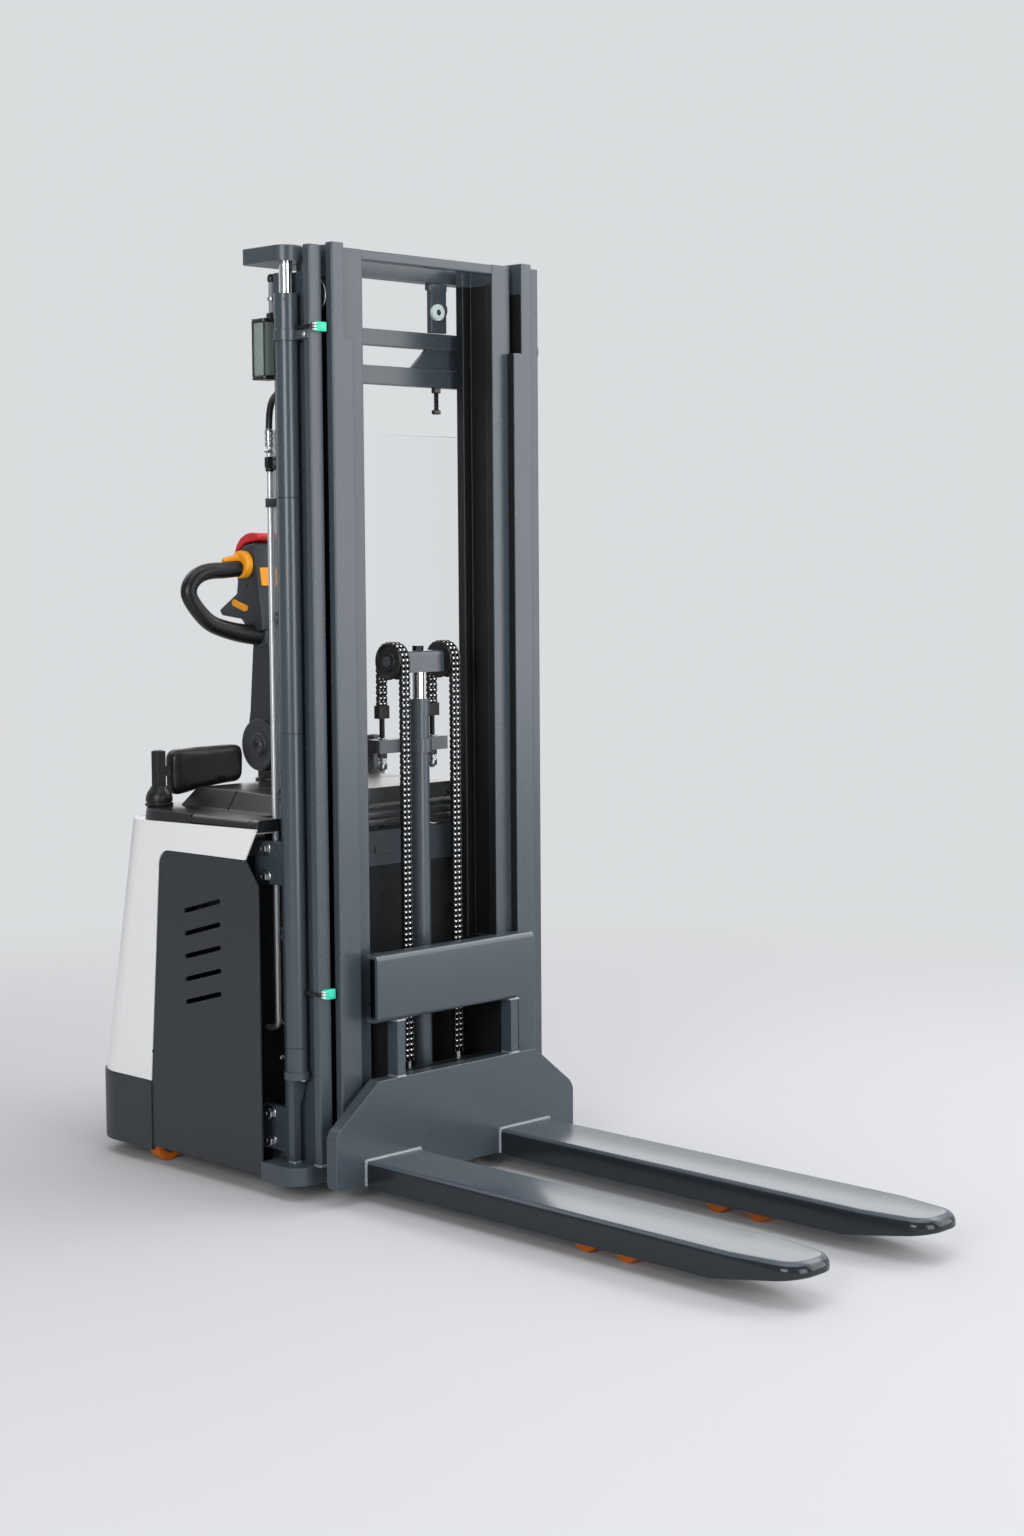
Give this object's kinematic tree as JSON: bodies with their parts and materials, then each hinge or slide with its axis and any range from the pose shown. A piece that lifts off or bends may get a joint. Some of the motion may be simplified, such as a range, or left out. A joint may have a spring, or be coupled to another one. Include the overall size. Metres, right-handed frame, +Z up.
{
  "type": "ride-on electric stacker",
  "caption": "Battery stacker with a telescopic lift mast on rollers, twin forks over straddle legs, a tiller with thumb throttle, swing-out side guards and a fold-down platform.",
  "frame": {"origin": "on the floor under the middle of the length and width", "axes": "+X forward along the forks, +Y to the left of a driver who faces the forks, +Z up"},
  "size_m": [2.05, 0.81, 2.058],
  "materials": {
    "dark_paint": "satin",
    "panel_paint": "satin",
    "black_paint": "satin",
    "white_cover": "satin",
    "black_plastic": "matte",
    "tiller_grey": "matte",
    "battery_case": "matte",
    "clear_sheet": "gloss",
    "zinc": "brushed",
    "chrome_rod": "polished",
    "steel": "oiled",
    "sensor_teal": "satin",
    "cast_grey": "cast",
    "tread_orange": "satin",
    "control_orange": "satin",
    "red_cap": "satin",
    "pad_black": "matte"
  },
  "bodies": {
    "chassis": {"chassis_frame": "dark_paint", "base_frame": "dark_paint", "side_panels": "panel_paint", "rear_cover": "white_cover", "bumper_skirt": "black_plastic", "top_deck": "black_plastic", "battery_pack": "battery_case", "hydraulic_unit": "cast_grey", "motor_controller": "black_plastic", "outer_rails": "dark_paint", "outer_crossmembers": "dark_paint", "mast_guard": "clear_sheet", "mast_fasteners": "zinc", "lift_cylinders": "dark_paint", "mast_sensors": "sensor_teal", "hydraulic_line": "zinc", "junction_box": "black_plastic"},
    "middle_mast": {"middle_rails": "dark_paint", "middle_crossmembers": "dark_paint", "lift_rods": "chrome_rod"},
    "inner_mast": {"inner_rails": "dark_paint", "inner_crossmembers": "dark_paint", "free_lift_cylinder": "black_paint"},
    "crosshead": {"crosshead": "black_paint", "lift_chains": "steel"},
    "chain_wheels": {"chain_wheels": "steel"},
    "carriage": {"carriage_plate": "dark_paint", "carriage_frame": "dark_paint", "load_backrest": "dark_paint", "right_fork": "dark_paint", "left_fork": "dark_paint"},
    "outer_rollers": {"outer_rollers": "steel"},
    "middle_rollers": {"middle_rollers": "steel"},
    "inner_rollers": {"inner_rollers": "steel"},
    "upper_carriage_rollers": {"upper_carriage_rollers": "steel"},
    "lower_carriage_rollers": {"lower_carriage_rollers": "steel"},
    "steering": {"steering_column": "black_paint", "drive_unit": "cast_grey"},
    "drive_wheel": {"drive_wheel": "tread_orange"},
    "tiller": {"tiller_arm": "tiller_grey", "tiller_head": "tiller_grey"},
    "throttle": {"throttle": "control_orange"},
    "reverse_button": {"reverse_button": "red_cap"},
    "right_side_button": {"right_side_button": "control_orange"},
    "left_side_button": {"left_side_button": "control_orange"},
    "front_button": {"front_button": "control_orange"},
    "right_guard": {"right_guard_arm": "black_paint", "right_guard_pad": "pad_black"},
    "left_guard": {"left_guard_arm": "black_paint", "left_guard_pad": "pad_black"},
    "platform": {"platform": "black_plastic"},
    "battery_lid": {"battery_lid": "black_plastic"},
    "right_caster": {"right_caster_fork": "steel"},
    "left_caster": {"left_caster_fork": "steel"},
    "right_caster_wheel": {"right_caster_wheel": "tread_orange"},
    "left_caster_wheel": {"left_caster_wheel": "tread_orange"},
    "right_rear_load_wheel": {"right_rear_load_wheel": "tread_orange"},
    "right_front_load_wheel": {"right_front_load_wheel": "tread_orange"},
    "left_rear_load_wheel": {"left_rear_load_wheel": "tread_orange"},
    "left_front_load_wheel": {"left_front_load_wheel": "tread_orange"}
  },
  "joints": [
    {"name": "middle_mast_slide", "type": "slide", "parent": "chassis", "child": "middle_mast", "axis": [0, 0, 1], "range_m": [0, 1.5]},
    {"name": "inner_mast_slide", "type": "slide", "parent": "middle_mast", "child": "inner_mast", "axis": [0, 0, 1], "range_m": [0, 1.5]},
    {"name": "carriage_slide", "type": "slide", "parent": "inner_mast", "child": "carriage", "axis": [0, 0, 1], "range_m": [0, 1.5]},
    {"name": "crosshead_slide", "type": "slide", "parent": "inner_mast", "child": "crosshead", "axis": [0, 0, 1], "range_m": [0, 0.75], "deforming": ["lift_chains"]},
    {"name": "chain_wheels_spin", "type": "hinge", "parent": "crosshead", "child": "chain_wheels", "pos_m": [-0.249, 0, 1.163], "axis": [0, 1, 0], "range_deg": [-1134, 0]},
    {"name": "outer_rollers_spin", "type": "hinge", "parent": "chassis", "child": "outer_rollers", "pos_m": [-0.23875, 0, 1.95], "axis": [0, 1, 0], "range_deg": [0, 2345]},
    {"name": "middle_rollers_spin", "type": "hinge", "parent": "middle_mast", "child": "middle_rollers", "pos_m": [-0.261, 0, 1.95], "axis": [0, 1, 0], "range_deg": [0, 2345]},
    {"name": "inner_rollers_spin", "type": "hinge", "parent": "inner_mast", "child": "inner_rollers", "pos_m": [-0.23875, 0, 0.135], "axis": [0, 1, 0], "range_deg": [-2345, 0]},
    {"name": "upper_carriage_rollers_spin", "type": "hinge", "parent": "carriage", "child": "upper_carriage_rollers", "pos_m": [-0.261, 0, 0.445], "axis": [0, 1, 0], "range_deg": [0, 2345]},
    {"name": "lower_carriage_rollers_spin", "type": "hinge", "parent": "carriage", "child": "lower_carriage_rollers", "pos_m": [-0.261, 0, 0.132], "axis": [0, 1, 0], "range_deg": [-2345, 0]},
    {"name": "steering_yaw", "type": "hinge", "parent": "chassis", "child": "steering", "pos_m": [-0.765, 0, 0.88], "axis": [0, 0, -1], "range_deg": [-90, 90]},
    {"name": "drive_wheel_spin", "type": "hinge", "parent": "steering", "child": "drive_wheel", "pos_m": [-0.765, 0, 0.115], "axis": [0, 1, 0], "continuous": true},
    {"name": "tiller_pitch", "type": "hinge", "parent": "steering", "child": "tiller", "pos_m": [-0.761, 0, 0.95], "axis": [0, -1, 0], "range_deg": [0, 60], "stiffness_Nm_per_rad": 20, "springref_deg": -17.19},
    {"name": "throttle_turn", "type": "hinge", "parent": "tiller", "child": "throttle", "pos_m": [-0.793, 0, 1.38], "axis": [0, 1, 0], "range_deg": [-30, 30], "stiffness_Nm_per_rad": 0.6},
    {"name": "reverse_button_press", "type": "slide", "parent": "tiller", "child": "reverse_button", "axis": [0.2873, 0, -0.9578], "range_m": [0, 0.004], "stiffness_N_per_m": 1500, "springref_m": -0.004},
    {"name": "front_button_press", "type": "slide", "parent": "tiller", "child": "front_button", "axis": [-0.9894, 0, -0.1455], "range_m": [0, 0.003], "stiffness_N_per_m": 800, "springref_m": -0.003},
    {"name": "right_side_button_press", "type": "slide", "parent": "tiller", "child": "right_side_button", "axis": [0, 1, 0], "range_m": [0, 0.003], "stiffness_N_per_m": 800, "springref_m": -0.002},
    {"name": "left_side_button_press", "type": "slide", "parent": "tiller", "child": "left_side_button", "axis": [0, -1, 0], "range_m": [0, 0.003], "stiffness_N_per_m": 800, "springref_m": -0.002},
    {"name": "right_guard_swing", "type": "hinge", "parent": "chassis", "child": "right_guard", "pos_m": [-0.773, -0.334, 0.9], "axis": [0, 0, 1], "range_deg": [0, 90]},
    {"name": "left_guard_swing", "type": "hinge", "parent": "chassis", "child": "left_guard", "pos_m": [-0.773, 0.334, 0.9], "axis": [0, 0, -1], "range_deg": [0, 90]},
    {"name": "platform_fold", "type": "hinge", "parent": "chassis", "child": "platform", "pos_m": [-0.995, 0, 0.165], "axis": [0, -1, 0], "range_deg": [0, 90], "stiffness_Nm_per_rad": 20, "springref_deg": -22.92},
    {"name": "battery_lid_hinge", "type": "hinge", "parent": "chassis", "child": "battery_lid", "pos_m": [-0.505, -0.384, 0.8115], "axis": [1, 0, 0], "range_deg": [0, 70]},
    {"name": "right_caster_swivel", "type": "hinge", "parent": "chassis", "child": "right_caster", "pos_m": [-0.75, -0.325, 0.1], "axis": [0, 0, 1], "continuous": true},
    {"name": "right_caster_spin", "type": "hinge", "parent": "right_caster", "child": "right_caster_wheel", "pos_m": [-0.75, -0.351, 0.0375], "axis": [1, 0, 0], "continuous": true},
    {"name": "right_rear_load_wheel_spin", "type": "hinge", "parent": "chassis", "child": "right_rear_load_wheel", "pos_m": [0.4786, -0.205, 0.037], "axis": [0, 1, 0], "continuous": true},
    {"name": "right_front_load_wheel_spin", "type": "hinge", "parent": "chassis", "child": "right_front_load_wheel", "pos_m": [0.5892, -0.205, 0.037], "axis": [0, 1, 0], "continuous": true},
    {"name": "left_caster_swivel", "type": "hinge", "parent": "chassis", "child": "left_caster", "pos_m": [-0.75, 0.325, 0.1], "axis": [0, 0, 1], "continuous": true},
    {"name": "left_caster_spin", "type": "hinge", "parent": "left_caster", "child": "left_caster_wheel", "pos_m": [-0.75, 0.351, 0.0375], "axis": [1, 0, 0], "continuous": true},
    {"name": "left_rear_load_wheel_spin", "type": "hinge", "parent": "chassis", "child": "left_rear_load_wheel", "pos_m": [0.4786, 0.205, 0.037], "axis": [0, 1, 0], "continuous": true},
    {"name": "left_front_load_wheel_spin", "type": "hinge", "parent": "chassis", "child": "left_front_load_wheel", "pos_m": [0.5892, 0.205, 0.037], "axis": [0, 1, 0], "continuous": true}
  ],
  "couplings": [
    {"joint": "inner_mast_slide", "follows": "middle_mast_slide", "ratio": 1},
    {"joint": "crosshead_slide", "follows": "carriage_slide", "ratio": 0.5},
    {"joint": "chain_wheels_spin", "follows": "carriage_slide", "rad_per_m": -13.158},
    {"joint": "outer_rollers_spin", "follows": "middle_mast_slide", "rad_per_m": 27.248},
    {"joint": "middle_rollers_spin", "follows": "middle_mast_slide", "rad_per_m": 27.248},
    {"joint": "inner_rollers_spin", "follows": "middle_mast_slide", "rad_per_m": -27.248},
    {"joint": "upper_carriage_rollers_spin", "follows": "carriage_slide", "rad_per_m": 27.248},
    {"joint": "lower_carriage_rollers_spin", "follows": "carriage_slide", "rad_per_m": -27.248}
  ]
}
